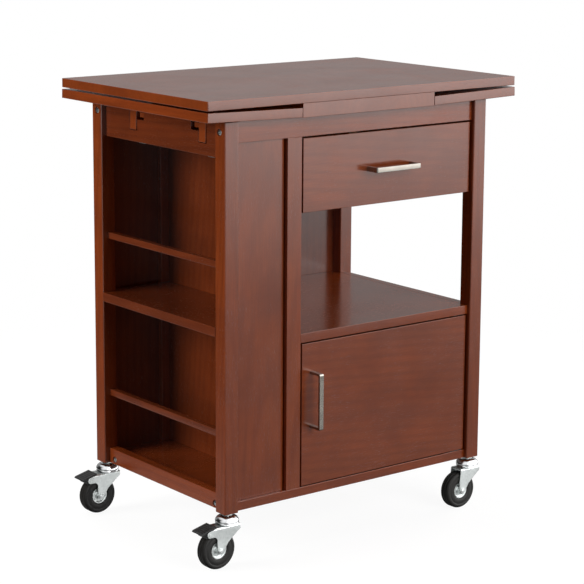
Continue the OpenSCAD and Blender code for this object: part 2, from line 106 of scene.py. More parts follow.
def applyModifiers(piece):
    # the evaluated result becomes a plain mesh on the same object
    bpy.context.view_layer.update()
    graph = bpy.context.evaluated_depsgraph_get()
    mesh = bpy.data.meshes.new_from_object(piece.evaluated_get(graph), depsgraph=graph)
    piece.modifiers.clear()
    piece.data = mesh
    return piece


def settleNormals(piece, angle=50):
    # broad faces shade flat and the narrow arris faces between them carry the turn
    mesh = piece.data
    limit = math.cos(math.radians(angle))
    faceNormals = [face.normal.copy() for face in mesh.polygons]
    areas = [face.area for face in mesh.polygons]
    around = [[] for _ in mesh.vertices]
    for face in mesh.polygons:
        for v in face.vertices:
            around[v].append(face.index)
    corners = []
    for face in mesh.polygons:
        own = faceNormals[face.index]
        for v in face.vertices:
            total = Vector()
            for other in around[v]:
                if own.dot(faceNormals[other]) > limit:
                    total += faceNormals[other] * areas[other]
            corners.append(total.normalized() if total.length > 0 else own)
    mesh.normals_split_custom_set(corners)
    return piece


def softenEdges(piece, width, segments=2, angle=32):
    bevel = piece.modifiers.new("arris", "BEVEL")
    bevel.width = width
    bevel.segments = segments
    bevel.limit_method = "ANGLE"
    bevel.angle_limit = math.radians(angle)
    bevel.use_clamp_overlap = False
    applyModifiers(piece)
    for face in piece.data.polygons:
        face.use_smooth = True
    return settleNormals(piece)


def finish(piece, material, body, slotName, *nodes):
    piece.data.materials.clear()
    piece.data.materials.append(material)
    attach(piece, body)
    if nodes:
        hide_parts(*nodes)
    return piece


def arcPoints(cx, cy, radius, fromDeg, toDeg, steps=6):
    turns = [math.radians(fromDeg + (toDeg - fromDeg) * i / steps) for i in range(steps + 1)]
    return [(cx + radius * math.cos(a), cy + radius * math.sin(a)) for a in turns]


def lathe(profile, segments=64, closed=True):
    # profile is a list of (radius, height) about Z; a closed profile makes a ring
    bm = bmesh.new()
    rings = []
    for i in range(segments):
        a = 2 * math.pi * i / segments
        rings.append([bm.verts.new((r * math.cos(a), r * math.sin(a), h)) for r, h in profile])
    count = len(profile)
    for i in range(segments):
        here, there = rings[i], rings[(i + 1) % segments]
        for k in range(count if closed else count - 1):
            n = (k + 1) % count
            bm.faces.new((here[k], there[k], there[n], here[n]))
    bmesh.ops.remove_doubles(bm, verts=bm.verts, dist=1e-7)
    bmesh.ops.recalc_face_normals(bm, faces=bm.faces)
    return bm


def prism(outline, low, high):
    # a closed outline in the XZ plane, pulled along Y from low to high
    bm = bmesh.new()
    near = [bm.verts.new((x, low, z)) for x, z in outline]
    far = [bm.verts.new((x, high, z)) for x, z in outline]
    bm.faces.new(near)
    bm.faces.new(list(reversed(far)))
    for i in range(len(outline)):
        k = (i + 1) % len(outline)
        bm.faces.new((near[k], near[i], far[i], far[k]))
    bmesh.ops.recalc_face_normals(bm, faces=bm.faces)
    return bm


def joinMeshes(*parts):
    bm = bmesh.new()
    for part, matrix in parts:
        scratch = bpy.data.meshes.new("scratch")
        part.transform(matrix)
        part.to_mesh(scratch)
        part.free()
        bm.from_mesh(scratch)
        bpy.data.meshes.remove(scratch)
    return bm


def cutWith(piece, cutter, operation="DIFFERENCE"):
    change = piece.modifiers.new("cut", "BOOLEAN")
    change.object = cutter
    change.operation = operation
    change.solver = "EXACT"
    applyModifiers(piece)
    bpy.data.objects.remove(cutter)
    return piece


def sharpBy(piece, angle=35):
    for face in piece.data.polygons:
        face.use_smooth = True
    piece.data.set_sharp_from_angle(angle=math.radians(angle))
    return piece


# ---- shader groups, shared by the materials

def newGroup(name, inputs, outputs):
    group = bpy.data.node_groups.new(name, "ShaderNodeTree")
    for kind, socketName, value in inputs:
        socket = group.interface.new_socket(socketName, in_out="INPUT", socket_type="NodeSocket" + kind)
        if value is not None:
            socket.default_value = value
    for kind, socketName in outputs:
        group.interface.new_socket(socketName, in_out="OUTPUT", socket_type="NodeSocket" + kind)
    return group, Wires(group.nodes, group.links)


class Wires:
    # places nodes and joins their sockets
    def __init__(self, nodes, links):
        self.nodes = nodes
        self.links = links

    def put(self, kind, values=None, **settings):
        node = self.nodes.new(kind)
        for key, value in settings.items():
            setattr(node, key, value)
        for key, value in (values or {}).items():
            socket = node.inputs[key]
            if isinstance(value, bpy.types.NodeSocket):
                self.links.new(value, socket)
            else:
                socket.default_value = value
        return node

    def math(self, operation, a, b=0.0, c=0.0, clamp=False):
        node = self.put("ShaderNodeMath", {0: a, 1: b, 2: c}, operation=operation, use_clamp=clamp)
        return node.outputs[0]

    def vector(self, operation, a, b=(0, 0, 0)):
        node = self.put("ShaderNodeVectorMath", {0: a, 1: b}, operation=operation)
        return node.outputs["Value" if operation in ("LENGTH", "DOT_PRODUCT", "DISTANCE") else "Vector"]

    def spread(self, value, low, high, toLow=0.0, toHigh=1.0, smooth=True):
        kind = "SMOOTHSTEP" if smooth else "LINEAR"
        node = self.put(
            "ShaderNodeMapRange",
            {"Value": value, "From Min": low, "From Max": high, "To Min": toLow, "To Max": toHigh},
            interpolation_type=kind,
        )
        return node.outputs["Result"]

    def noise(self, vector, scale, detail=3.0, roughness=0.5, distortion=0.0):
        settings = {"Vector": vector, "Scale": scale, "Detail": detail, "Roughness": roughness}
        return self.put("ShaderNodeTexNoise", {**settings, "Distortion": distortion})

    def mix(self, factor, a, b, blend="MIX"):
        node = self.put("ShaderNodeMix", data_type="RGBA", blend_type=blend)
        for index, value in ((0, factor), (6, a), (7, b)):
            if isinstance(value, bpy.types.NodeSocket):
                self.links.new(value, node.inputs[index])
            else:
                node.inputs[index].default_value = value
        return node.outputs[2]

    def scaled(self, vector, scale):
        return self.vector("MULTIPLY", vector, scale)


def makeGrainGroup():
    # growth rings about a pith line beside the board, with streaks, fibres and pores along it
    group, w = newGroup(
        "boardGrain",
        [
            ("Vector", "Board", None),
            ("Vector", "Seed", None),
            ("Float", "Ring Width", 0.009),
            ("Float", "Waviness", 0.6),
            ("Float", "Slope", 0.05),
        ],
        [("Float", name) for name in ("Rings", "Streaks", "Fibres", "Pores", "Clouds")],
    )
    start = w.put("NodeGroupInput")
    end = w.put("NodeGroupOutput")
    moved = w.vector("ADD", start.outputs["Board"], w.scaled(start.outputs["Seed"], (7.0, 7.0, 7.0)))
    drift = w.noise(w.scaled(moved, (1.6, 8.0, 8.0)), 1.0, 2.0, 0.5)
    centred = w.vector("SUBTRACT", drift.outputs["Color"], (0.5, 0.5, 0.5))
    bent = w.vector("ADD", start.outputs["Board"], w.scaled(centred, (0.0, 0.022, 0.022)))
    parts = w.put("ShaderNodeSeparateXYZ", {0: bent})
    seed = w.put("ShaderNodeSeparateXYZ", {0: start.outputs["Seed"]})
    across = w.math("ADD", parts.outputs["Y"], w.spread(seed.outputs["Y"], 0, 1, -0.05, 0.05, False))
    depth = w.math("ADD", parts.outputs["Z"], w.spread(seed.outputs["Z"], 0, 1, 0.03, 0.07, False))
    sloped = w.math("MULTIPLY_ADD", parts.outputs["X"], start.outputs["Slope"], depth)
    squares = w.math("ADD", w.math("MULTIPLY", across, across), w.math("MULTIPLY", sloped, sloped))
    radius = w.math("SQRT", squares)
    wander = w.noise(w.scaled(moved, (2.2, 16.0, 16.0)), 1.0, 2.0, 0.45)
    count = w.math("DIVIDE", radius, start.outputs["Ring Width"])
    phase = w.math("MULTIPLY_ADD", wander.outputs["Fac"], start.outputs["Waviness"], count)
    wave = w.math("SINE", w.math("MULTIPLY", phase, 6.2832))
    w.links.new(w.spread(wave, -0.6, 1.0), end.inputs["Rings"])
    streak = w.noise(w.scaled(moved, (1.7, 75.0, 75.0)), 1.0, 3.0, 0.55)
    w.links.new(w.spread(streak.outputs["Fac"], 0.32, 0.70), end.inputs["Streaks"])
    fibre = w.noise(w.scaled(moved, (16.0, 720.0, 720.0)), 1.0, 3.0, 0.6)
    w.links.new(fibre.outputs["Fac"], end.inputs["Fibres"])
    pore = w.noise(w.scaled(moved, (95.0, 1300.0, 1300.0)), 1.0, 1.0, 0.5)
    w.links.new(w.spread(pore.outputs["Fac"], 0.62, 0.74), end.inputs["Pores"])
    cloud = w.noise(w.scaled(moved, (7.0, 11.0, 11.0)), 1.0, 4.0, 0.6, 0.3)
    w.links.new(w.spread(cloud.outputs["Fac"], 0.3, 0.72), end.inputs["Clouds"])
    return group


def makeArrisGroup():
    # distance from a point of a box-shaped board to its nearest edge, worn unevenly
    group, w = newGroup(
        "arrisWear",
        [
            ("Vector", "Board", None),
            ("Vector", "Half", None),
            ("Float", "Width", 0.0016),
            ("Float", "Breakup", 0.6),
        ],
        [("Float", "Wear"), ("Float", "Line")],
    )
    start = w.put("NodeGroupInput")
    end = w.put("NodeGroupOutput")
    inward = w.vector("SUBTRACT", start.outputs["Half"], w.vector("ABSOLUTE", start.outputs["Board"]))
    d = w.put("ShaderNodeSeparateXYZ", {0: inward})
    a, b, c = d.outputs["X"], d.outputs["Y"], d.outputs["Z"]
    low = w.math("MINIMUM", a, b)
    high = w.math("MAXIMUM", a, b)
    second = w.math("MAXIMUM", low, w.math("MINIMUM", high, c))
    band = w.math("SUBTRACT", 1.0, w.math("DIVIDE", second, start.outputs["Width"], clamp=True))
    w.links.new(band, end.inputs["Line"])
    rub = w.noise(w.scaled(start.outputs["Board"], (1.0, 1.0, 1.0)), 46.0, 4.0, 0.65)
    chipped = w.spread(rub.outputs["Fac"], 0.42, 0.66)
    part = w.math("MULTIPLY_ADD", w.math("SUBTRACT", chipped, 1.0), start.outputs["Breakup"], 1.0)
    w.links.new(w.math("MULTIPLY", band, part), end.inputs["Wear"])
    return group


def makeHandlingGroup():
    # faint smears and dust specks that change a surface's gloss
    group, w = newGroup(
        "handling",
        [("Vector", "Position", None), ("Float", "Size", 6.0)],
        [("Float", "Smears"), ("Float", "Specks")],
    )
    start = w.put("NodeGroupInput")
    end = w.put("NodeGroupOutput")
    smear = w.noise(start.outputs["Position"], start.outputs["Size"], 5.0, 0.62, 0.8)
    w.links.new(w.spread(smear.outputs["Fac"], 0.34, 0.7), end.inputs["Smears"])
    speck = w.put("ShaderNodeTexVoronoi", {"Vector": start.outputs["Position"], "Scale": 420.0})
    w.links.new(w.spread(speck.outputs["Distance"], 0.05, 0.16, 1.0, 0.0), end.inputs["Specks"])
    return group


grainGroup = makeGrainGroup()
arrisGroup = makeArrisGroup()
handlingGroup = makeHandlingGroup()


# ---- materials

def newMaterial(name):
    material = bpy.data.materials.new(name)
    material.use_nodes = True
    tree = material.node_tree
    tree.nodes.clear()
    w = Wires(tree.nodes, tree.links)
    out = w.put("ShaderNodeOutputMaterial")
    shader = w.put("ShaderNodeBsdfPrincipled")
    w.links.new(shader.outputs[0], out.inputs["Surface"])
    return material, w, shader


def group(w, tree, values):
    node = w.put("ShaderNodeGroup", node_tree=tree)
    for key, value in values.items():
        if isinstance(value, bpy.types.NodeSocket):
            w.links.new(value, node.inputs[key])
        else:
            node.inputs[key].default_value = value
    return node


def colour(r, g, b):
    return (r, g, b, 1.0)


def woodMaterial(name, look):
    material, w, shader = newMaterial(name)
    board = w.put("ShaderNodeAttribute", attribute_name="boardAt").outputs["Vector"]
    half = w.put("ShaderNodeAttribute", attribute_name="boardHalf").outputs["Vector"]
    seed = w.put("ShaderNodeAttribute", attribute_name="boardSeed").outputs["Vector"]
    grain = group(w, grainGroup, {
        "Board": board, "Seed": seed, "Ring Width": look["ringWidth"],
        "Waviness": look["waviness"], "Slope": look["slope"],
    })
    arris = group(w, arrisGroup, {"Board": board, "Half": half, "Width": look["arris"], "Breakup": 0.7})
    touch = group(w, handlingGroup, {"Position": board, "Size": 7.0})
    reach = w.put("ShaderNodeSeparateXYZ", {0: w.vector("SUBTRACT", half, w.vector("ABSOLUTE", board))})
    # rings stay faint on sealed end grain
    alongFace = w.spread(reach.outputs["X"], 0.0005, 0.0015, 0.25, 1.0)
    rings = w.math("MULTIPLY", w.math("MULTIPLY", grain.outputs["Rings"], look["ringDepth"]), alongFace)
    body = w.mix(rings, look["light"], look["dark"])
    streaks = w.math("MULTIPLY", w.math("MULTIPLY", grain.outputs["Streaks"], look["streaks"]), alongFace)
    body = w.mix(streaks, body, look["streak"])
    body = w.mix(w.math("MULTIPLY", grain.outputs["Clouds"], look["clouds"]), body, look["cloud"])
    body = w.mix(w.spread(grain.outputs["Fibres"], 0.35, 0.7, 0.0, look["fibres"]), body, look["dark"])
    body = w.mix(w.math("MULTIPLY", grain.outputs["Pores"], look["pores"]), body, look["pore"])
    seedParts = w.put("ShaderNodeSeparateXYZ", {0: seed})
    lift = w.spread(seedParts.outputs["X"], 0, 1, 1 - look["boardTone"], 1 + look["boardTone"], False)
    toned = w.put("ShaderNodeHueSaturation", {"Value": lift, "Color": body}).outputs[0]
    toned = w.mix(w.math("MULTIPLY", arris.outputs["Wear"], look["arrisMix"]), toned, look["arrisColour"])
    w.links.new(toned, shader.inputs["Base Color"])
    rough = w.math("MULTIPLY_ADD", touch.outputs["Smears"], look["smears"], look["roughness"])
    rough = w.math("MULTIPLY_ADD", grain.outputs["Pores"], 0.05, rough)
    rough = w.math("MULTIPLY_ADD", arris.outputs["Wear"], -0.06, rough)
    w.links.new(rough, shader.inputs["Roughness"])
    height = w.math("MULTIPLY_ADD", grain.outputs["Pores"], -0.7, grain.outputs["Fibres"])
    height = w.math("MULTIPLY_ADD", grain.outputs["Rings"], 0.25, height)
    bump = w.put("ShaderNodeBump", {"Height": height, "Strength": look["bump"], "Distance": 0.00012})
    w.links.new(bump.outputs[0], shader.inputs["Normal"])
    shader.inputs["Specular IOR Level"].default_value = look["specular"]
    shader.inputs["Coat Weight"].default_value = look["coat"]
    shader.inputs["Coat Roughness"].default_value = look["coatRoughness"]
    return material


stainedWood = dict(
    light=colour(0.225, 0.044, 0.0080),
    dark=colour(0.100, 0.0150, 0.0028),
    streak=colour(0.270, 0.045, 0.0070),
    cloud=colour(0.120, 0.0215, 0.0045),
    pore=colour(0.036, 0.006, 0.002),
    arrisColour=colour(0.27, 0.062, 0.015),
    ringWidth=0.012, waviness=0.9, slope=0.06, ringDepth=0.32,
    streaks=0.55, clouds=0.50, fibres=0.30, pores=0.30,
    boardTone=0.06, arris=0.0014, arrisMix=0.22, roughness=0.21, smears=0.06, bump=0.16,
    specular=0.5, coat=0.30, coatRoughness=0.14,
)
topLook = dict(roughness=0.17, coat=0.45, coatRoughness=0.09, ringWidth=0.015, slope=0.035)
panelLook = dict(clouds=0.62, ringDepth=0.28, streaks=0.34, ringWidth=0.018, slope=0.10, boardTone=0.03)
plainLook = dict(
    light=colour(0.46, 0.25, 0.12), dark=colour(0.32, 0.15, 0.065), streak=colour(0.50, 0.27, 0.12),
    cloud=colour(0.42, 0.23, 0.11), pore=colour(0.18, 0.09, 0.04), arrisColour=colour(0.52, 0.32, 0.17),
    roughness=0.42, coat=0.1,
)
# boards inside the bay get darker copies of the stain: painted shade standing in for the dimmer light inside
# the bay
insideShadeLook = dict(
    light=colour(0.150, 0.030, 0.0075), dark=colour(0.066, 0.0105, 0.0028),
    streak=colour(0.175, 0.030, 0.0065), cloud=colour(0.080, 0.0150, 0.0042),
    arrisColour=colour(0.21, 0.048, 0.013),
)
woods = {
    "topWood": woodMaterial("topWood", {**stainedWood, **topLook}),
    "frameWood": woodMaterial("frameWood", stainedWood),
    "panelWood": woodMaterial("panelWood", {**stainedWood, **panelLook}),
    # the two darker inside materials are painted shade, not a different stain
    "shadedInsideWood": woodMaterial("shadedInsideWood", {**stainedWood, **insideShadeLook}),
    "insidePanel": woodMaterial("insidePanel", {**stainedWood, **panelLook, **insideShadeLook}),
    "plainWood": woodMaterial("plainWood", {**stainedWood, **plainLook}),
}


def metalMaterial(name, look):
    material, w, shader = newMaterial(name)
    place = w.put("ShaderNodeTexCoord").outputs["Object"]
    touch = group(w, handlingGroup, {"Position": place, "Size": 26.0})
    brush = w.noise(w.scaled(place, look["brush"]), 1.0, 3.0, 0.6)
    spangle = w.put("ShaderNodeTexVoronoi", {"Vector": place, "Scale": look["spangleScale"]})
    fleck = w.put("ShaderNodeSeparateColor", {0: spangle.outputs["Color"]}).outputs[0]
    shade = w.math("MULTIPLY", fleck, look["spangle"])
    shade = w.math("MULTIPLY_ADD", brush.outputs["Fac"], look["brushTone"], shade)
    shade = w.math("MULTIPLY_ADD", touch.outputs["Smears"], 0.10, shade, clamp=True)
    w.links.new(w.mix(shade, look["light"], look["dark"]), shader.inputs["Base Color"])
    rough = w.math("MULTIPLY_ADD", brush.outputs["Fac"], look["brushRough"], look["roughness"])
    rough = w.math("MULTIPLY_ADD", touch.outputs["Smears"], look["smearRough"], rough)
    w.links.new(rough, shader.inputs["Roughness"])
    bump = w.put("ShaderNodeBump", {
        "Height": brush.outputs["Fac"], "Strength": look["bump"], "Distance": 0.00005})
    w.links.new(bump.outputs[0], shader.inputs["Normal"])
    shader.inputs["Metallic"].default_value = 1.0
    return material


metals = {
    "nickel": metalMaterial("brushedNickel", dict(
        light=colour(0.38, 0.35, 0.31), dark=colour(0.15, 0.13, 0.115),
        brush=(60, 60, 60), spangleScale=30.0, spangle=0.0,
        brushTone=0.35, brushRough=0.12, roughness=0.15, smearRough=0.06, bump=0.3)),
    "zinc": metalMaterial("brightZinc", dict(
        light=colour(0.70, 0.73, 0.72), dark=colour(0.46, 0.49, 0.49),
        brush=(220, 220, 220), spangleScale=230.0, spangle=0.35,
        brushTone=0.15, brushRough=0.08, roughness=0.26, smearRough=0.10, bump=0.15)),
    "chrome": metalMaterial("polishedChrome", dict(
        light=colour(0.86, 0.87, 0.88), dark=colour(0.66, 0.68, 0.70),
        brush=(90, 90, 700), spangleScale=60.0, spangle=0.05,
        brushTone=0.08, brushRough=0.03, roughness=0.05, smearRough=0.05, bump=0.06)),
}


def mouldedMaterial(name, look):
    material, w, shader = newMaterial(name)
    place = w.put("ShaderNodeTexCoord").outputs["Object"]
    touch = group(w, handlingGroup, {"Position": place, "Size": look["smearSize"]})
    skin = w.noise(place, look["skinScale"], 3.0, 0.6)
    tone = w.math("MULTIPLY", touch.outputs["Smears"], look["smearTone"])
    tone = w.math("MULTIPLY_ADD", touch.outputs["Specks"], look["speckTone"], tone, clamp=True)
    w.links.new(w.mix(tone, look["base"], look["worn"]), shader.inputs["Base Color"])
    rough = w.math("MULTIPLY_ADD", touch.outputs["Smears"], look["smearRough"], look["roughness"])
    w.links.new(rough, shader.inputs["Roughness"])
    bump = w.put("ShaderNodeBump", {
        "Height": skin.outputs["Fac"], "Strength": look["bump"], "Distance": 0.0001})
    w.links.new(bump.outputs[0], shader.inputs["Normal"])
    shader.inputs["Specular IOR Level"].default_value = look["specular"]
    return material


moulded = {
    "rubber": mouldedMaterial("tyreRubber", dict(
        base=colour(0.009, 0.0086, 0.0082), worn=colour(0.030, 0.028, 0.025),
        smearSize=34.0, skinScale=900.0,
        smearTone=0.32, speckTone=0.25, smearRough=0.16, roughness=0.50, bump=0.5, specular=0.28)),
    "blackPlastic": mouldedMaterial("blackPlastic", dict(
        base=colour(0.016, 0.016, 0.017), worn=colour(0.06, 0.06, 0.06), smearSize=40.0, skinScale=1500.0,
        smearTone=0.25, speckTone=0.15, smearRough=0.14, roughness=0.38, bump=0.35, specular=0.4)),
    "greyNylon": mouldedMaterial("greyNylon", dict(
        base=colour(0.17, 0.17, 0.165), worn=colour(0.10, 0.095, 0.09), smearSize=30.0, skinScale=1100.0,
        smearTone=0.4, speckTone=0.1, smearRough=0.12, roughness=0.40, bump=0.3, specular=0.4)),
}
print("materials ready")


# ---- wooden pieces: each board keeps its CAD shape, with soft arrises and its own grain

grainOrder = {"x": (0, 1, 2), "y": (1, 0, 2), "z": (2, 0, 1)}
leafTilt = math.radians(1.32)
boards = {
    "top_board": dict(grain="x", wood="topWood", slot="walnut_top", arris=0.9),
    "left_leaf": dict(grain="y", wood="topWood", slot="walnut_top", arris=0.9, tilt=leafTilt),
    "right_leaf": dict(grain="y", wood="topWood", slot="walnut_top", arris=0.9, tilt=-leafTilt),
    "centre_board": dict(grain="y", wood="topWood", slot="walnut_top", arris=0.7),
    "leg_fl": dict(grain="z", arris=0.8), "leg_fr": dict(grain="z", arris=0.8),
    "leg_rl": dict(grain="z", arris=0.8), "leg_rr": dict(grain="z", arris=0.8),
    "front_apron": dict(grain="x", arris=0.5), "rear_apron": dict(grain="x", arris=0.5),
    # the end aprons, stemware shelf, guard rails, rear panel and divider take the darker inside materials as
    # painted shade
    "left_apron": dict(grain="y", wood="shadedInsideWood", arris=0.6),
    "right_apron": dict(grain="y", wood="shadedInsideWood", arris=0.6),
    "bottom_board": dict(grain="x", arris=0.8), "left_end_rail": dict(grain="y", arris=0.7),
    "stemware_shelf": dict(grain="y", wood="shadedInsideWood", arris=0.7),
    "upper_guard_rail": dict(grain="y", wood="shadedInsideWood", arris=0.9),
    "lower_guard_rail": dict(grain="y", wood="shadedInsideWood", arris=0.9),
    "front_panel": dict(grain="z", wood="panelWood", slot="walnut_panel", arris=0.4),
    "rear_panel": dict(grain="z", wood="insidePanel", slot="walnut_panel", arris=0.4),
    "right_side_panel": dict(grain="z", wood="panelWood", slot="walnut_panel", arris=0.6),
    "divider": dict(grain="z", wood="insidePanel", slot="walnut_panel", arris=0.5),
    "front_stile": dict(grain="z", arris=0.7), "rear_post": dict(grain="z", arris=0.6),
    "open_shelf": dict(grain="x", arris=0.7),
    "drawer_runners": dict(grain="y", wood="plainWood", slot="plain_wood", arris=0.8),
    "bearer_guide": dict(grain="y", wood="plainWood", slot="plain_wood", arris=0.6),
    "top_pegs": dict(grain="z", wood="plainWood", slot="plain_wood", arris=0.8),
    "left_bearers": dict(grain="x", arris=0.9), "right_bearers": dict(grain="x", arris=0.9),
    "drawer_front": dict(grain="x", wood="panelWood", slot="walnut_panel", arris=0.8),
    "drawer_box": dict(grain="x", wood="plainWood", slot="plain_wood", arris=0.8),
    "drawer_bottom": dict(grain="x", wood="plainWood", slot="plain_wood", arris=0.3),
    "door": dict(grain="x", wood="panelWood", slot="walnut_panel", arris=0.8),
}
bodyOf = {node: piece["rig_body"] for node, piece in frame["nodes"].items()}


def islandsOf(bm):
    left = set(bm.verts)
    while left:
        stack = [left.pop()]
        island = list(stack)
        while stack:
            for edge in stack.pop().link_edges:
                for vert in edge.verts:
                    if vert in left:
                        left.remove(vert)
                        stack.append(vert)
                        island.append(vert)
        yield island


def writeBoardCoordinates(mesh, grain, tilt, seedStart):
    bm = bmesh.new()
    bm.from_mesh(mesh)
    bm.verts.index_update()
    order = grainOrder[grain]
    turn = Matrix.Rotation(-tilt, 3, "Y")
    count = len(bm.verts)
    at, half, seed = [0.0] * 3 * count, [0.0] * 3 * count, [0.0] * 3 * count
    islands = sorted(islandsOf(bm), key=lambda vs: tuple(round(c, 4) for c in vs[0].co))
    for number, island in enumerate(islands):
        flat = [turn @ v.co for v in island]
        low = [min(p[k] for p in flat) for k in range(3)]
        high = [max(p[k] for p in flat) for k in range(3)]
        spot = seedStart + number * 0.377
        own = [spot % 1.0, (spot * 1.618) % 1.0, (spot * 2.414) % 1.0]
        for v, p in zip(island, flat):
            for slotIndex, axis in enumerate(order):
                at[3 * v.index + slotIndex] = p[axis] - (low[axis] + high[axis]) / 2
                half[3 * v.index + slotIndex] = (high[axis] - low[axis]) / 2
                seed[3 * v.index + slotIndex] = own[slotIndex]
    bm.free()
    for name, values in (("boardAt", at), ("boardHalf", half), ("boardSeed", seed)):
        mesh.attributes.new(name, "FLOAT_VECTOR", "POINT").data.foreach_set("vector", values)


def cadMesh(node):
    bm = bmesh.new()
    bm.from_mesh(frame["nodes"][node].data)
    bmesh.ops.remove_doubles(bm, verts=bm.verts, dist=2e-6)
    bmesh.ops.dissolve_limit(bm, angle_limit=math.radians(0.6), verts=bm.verts, edges=bm.edges)
    return bm


def makeBoard(node, board, number):
    piece = linkMesh(pieceName(node), meshFrom(node, cadMesh(node)))
    softenEdges(piece, board["arris"] * mm)
    writeBoardCoordinates(piece.data, board["grain"], board.get("tilt", 0.0), 0.173 * number + 0.31)
    wood = woods[board.get("wood", "frameWood")]
    finish(piece, wood, bodyOf[node], board.get("slot", "walnut_frame"), node)


for number, (node, board) in enumerate(boards.items()):
    makeBoard(node, board, number)
print("boards ready")


# ---- pulls: a flat bar bent into a U

pull = dict(bar=5.0, bend=4.0, steps=5, edge=0.7)


def pullMesh(length, reach, width):
    # the bar's outline from above, standing out towards -Y, pulled along Z to its width
    bar, bend, steps = pull["bar"] * mm, pull["bend"] * mm, pull["steps"]
    outer = [(-length / 2, 0.0)]
    outer += arcPoints(-length / 2 + bend, -reach + bend, bend, 180, 270, steps)
    outer += arcPoints(length / 2 - bend, -reach + bend, bend, 270, 360, steps)
    outer += [(length / 2, 0.0)]
    inside = bend - bar * 0.6
    inner = [(length / 2 - bar, 0.0)]
    inner += arcPoints(length / 2 - bar - inside, -reach + bar + inside, inside, 0, -90, steps)
    inner += arcPoints(-length / 2 + bar + inside, -reach + bar + inside, inside, -90, -180, steps)
    inner += [(-length / 2 + bar, 0.0)]
    return prism(outer + inner, -width / 2, width / 2)


def makePull(node, body, along):
    low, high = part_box(node)
    size = high - low
    middle = (low + high) / 2
    length = size.x if along == "x" else size.z
    width = size.z if along == "x" else size.x
    bm = pullMesh(length, size.y, width)
    # the outline was drawn in XZ; lay it into XY, then turn an upright pull
    bm.transform(Matrix(((1, 0, 0, 0), (0, 0, 1, 0), (0, -1, 0, 0), (0, 0, 0, 1))))
    if along == "z":
        bm.transform(Matrix.Rotation(math.radians(90), 4, "Y"))
    bm.transform(Matrix.Translation((middle.x, high.y, middle.z)))
    bmesh.ops.recalc_face_normals(bm, faces=bm.faces)
    piece = linkMesh(pieceName(node), meshFrom(node, bm))
    softenEdges(piece, pull["edge"] * mm, 2, 50)
    finish(piece, metals["nickel"], body, "nickel", node)


makePull("drawer_pull", "drawer", "x")
makePull("door_pull", "door", "z")
print("pulls ready")


# ---- casters

caster = dict(
    wheelRadius=38.0, hubRadius=17.0, tyreHalf=12.0, shoulder=6.0,
    grooveAt=3.5, grooveHalf=0.9, grooveDeep=1.2,
    axleDiameter=8.0, forkIn=13.3, sheet=2.4, forkTop=84.5, bend=3.4,
    cupLow=85.0, cupHigh=101.0, cupRadius=23.0,
    trail=26.0, stem=10.0, pedalPin=5.0, pedalBack=24.0, pedalUp=36.0, earRadius=6.5,
)
forkOut = caster["forkIn"] + caster["sheet"]


def scaledProfile(points):
    return [(r * mm, h * mm) for r, h in points]


def tyreProfile():
    half, s, r, inner = caster["tyreHalf"], caster["shoulder"], caster["wheelRadius"], caster["hubRadius"]
    points = [(inner, -half + 2.2), (inner + 2.6, -half + 0.4), (inner + 5, -half)]
    # a shallow moulded line round the side wall, as far in from the shoulder and as deep as this
    line = [(4.2, 0.0), (3.4, 0.5), (2.2, 0.5), (1.4, 0.0)]
    points += [(r - s - inward, -half + deep) for inward, deep in line]
    points += arcPoints(r - s, -half + s, s, -90, 0, 8)
    for y in (-caster["grooveAt"], caster["grooveAt"]):
        g, d = caster["grooveHalf"], caster["grooveDeep"]
        points += [(r, y - g - 0.3), (r - 0.3, y - g), (r - d, y - g * 0.5), (r - d, y + g * 0.5),
                   (r - 0.3, y + g), (r, y + g + 0.3)]
    points += arcPoints(r - s, half - s, s, 0, 90, 8)
    points += [(r - s - inward, half - deep) for inward, deep in reversed(line)]
    points += [(inner + 5, half), (inner + 2.6, half - 0.4), (inner, half - 2.2)]
    return scaledProfile(points)


def hubProfile():
    bore, r, boss = caster["axleDiameter"] / 2 + 0.05, caster["hubRadius"], caster["forkIn"] - 0.3
    side = [(bore, boss), (7.4, boss), (8.0, boss - 0.6), (8.0, 7.4), (9.0, 6.6), (13.2, 6.2), (14.2, 6.8),
            (14.6, 9.4), (15.4, 10.0), (r, 10.0)]
    return scaledProfile([(a, -b) for a, b in side] + list(reversed(side)))


def cupProfile():
    low, high, r = caster["cupLow"], caster["cupHigh"], caster["cupRadius"]
    bore = caster["stem"] / 2 + 0.05
    dome = arcPoints(r - 10.0, low + 5.4, 10.0, 0, 72, 12)
    points = [(bore, low), (r - 2.6, low), (r - 1.2, low + 0.5), (r - 0.2, low + 1.7), (r - 0.5, low + 2.9)]
    points += [(r - 0.9, low + 3.6), *dome, (14.6, high - 0.5), (13.4, high), (12.6, high - 0.4)]
    points += [(12.0, high - 1.6), (bore, high - 1.6)]
    return scaledProfile(points)


def forkOutline(braked):
    # side view of the fork, about the swivel axis, in millimetres; x is minus the trail at the axle
    trail, top, radius = caster["trail"], caster["forkTop"], caster["cupRadius"]
    foot = arcPoints(-trail, caster["wheelRadius"], 8, 212, 345, 12)
    back = [(-8.0, 52.0), (4.0, 62.0), (14.0, 70.0)]
    back += [*arcPoints(radius - 8, top - 8, 6, -20, 0, 3), (radius - 2, top)]
    if braked:
        pinX, pinZ = -(trail + caster["pedalBack"]), caster["wheelRadius"] + caster["pedalUp"]
        front = [(-trail - 4, top), (-trail - 9, top - 0.6)]
        front += arcPoints(pinX, pinZ, caster["earRadius"], 104, 282, 12)
        front += arcPoints(-trail - 16, caster["wheelRadius"] + 21, 8.6, 78, 4, 6)
    else:
        front = [(-trail - 4, top), *arcPoints(-trail + 1, top - 8, 6, 165, 185, 3), (-trail - 7.5, 56.0)]
    return foot + back + front


